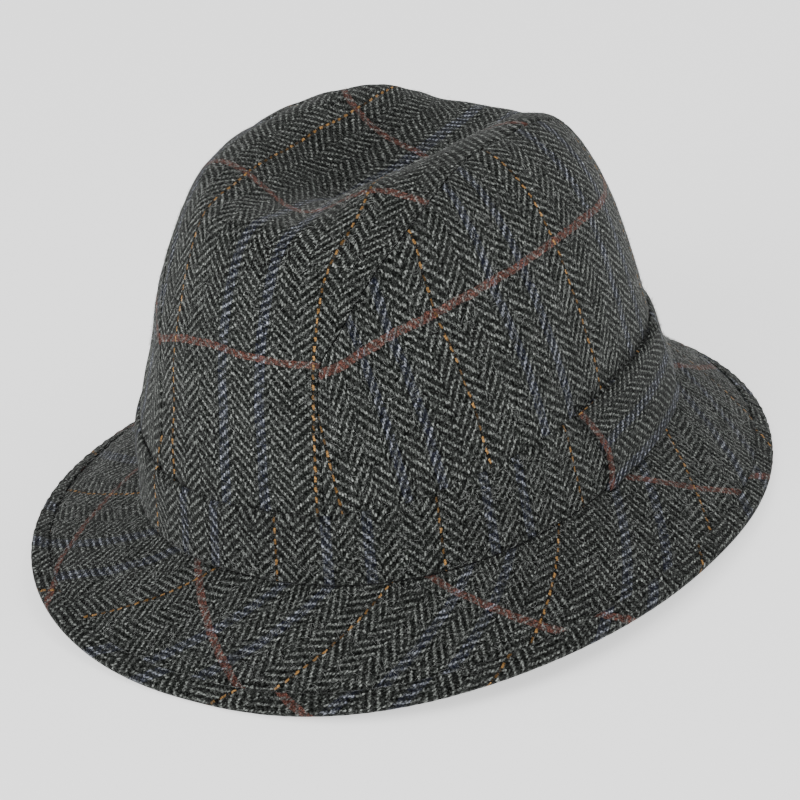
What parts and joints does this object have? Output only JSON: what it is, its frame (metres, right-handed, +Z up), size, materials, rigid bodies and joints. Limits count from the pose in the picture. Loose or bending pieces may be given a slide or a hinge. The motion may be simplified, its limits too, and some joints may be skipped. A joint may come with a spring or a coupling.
{
  "type": "trilby hat",
  "caption": "Soft tweed trilby with a lengthwise creased crown, self-fabric hatband with a notched tab and a sloping bound brim.",
  "frame": {"origin": "on the floor, under the middle of the hat's bounding box, where the brim rests", "axes": "+Z up, -Y towards the front of the hat, +X towards the wearer's left"},
  "size_m": [0.2518, 0.291, 0.1572],
  "materials": {
    "tweed": "grey herringbone tweed with rust, amber and blue overcheck lines",
    "bound_edge": "the same tweed cut as a narrow binding"
  },
  "bodies": {
    "root": {"crown_centre_panel": "tweed", "crown_left_panel": "tweed", "crown_right_panel": "tweed", "hatband": "tweed", "hatband_tab": "tweed", "brim": "tweed", "brim_binding": "bound_edge"}
  },
  "joints": []
}
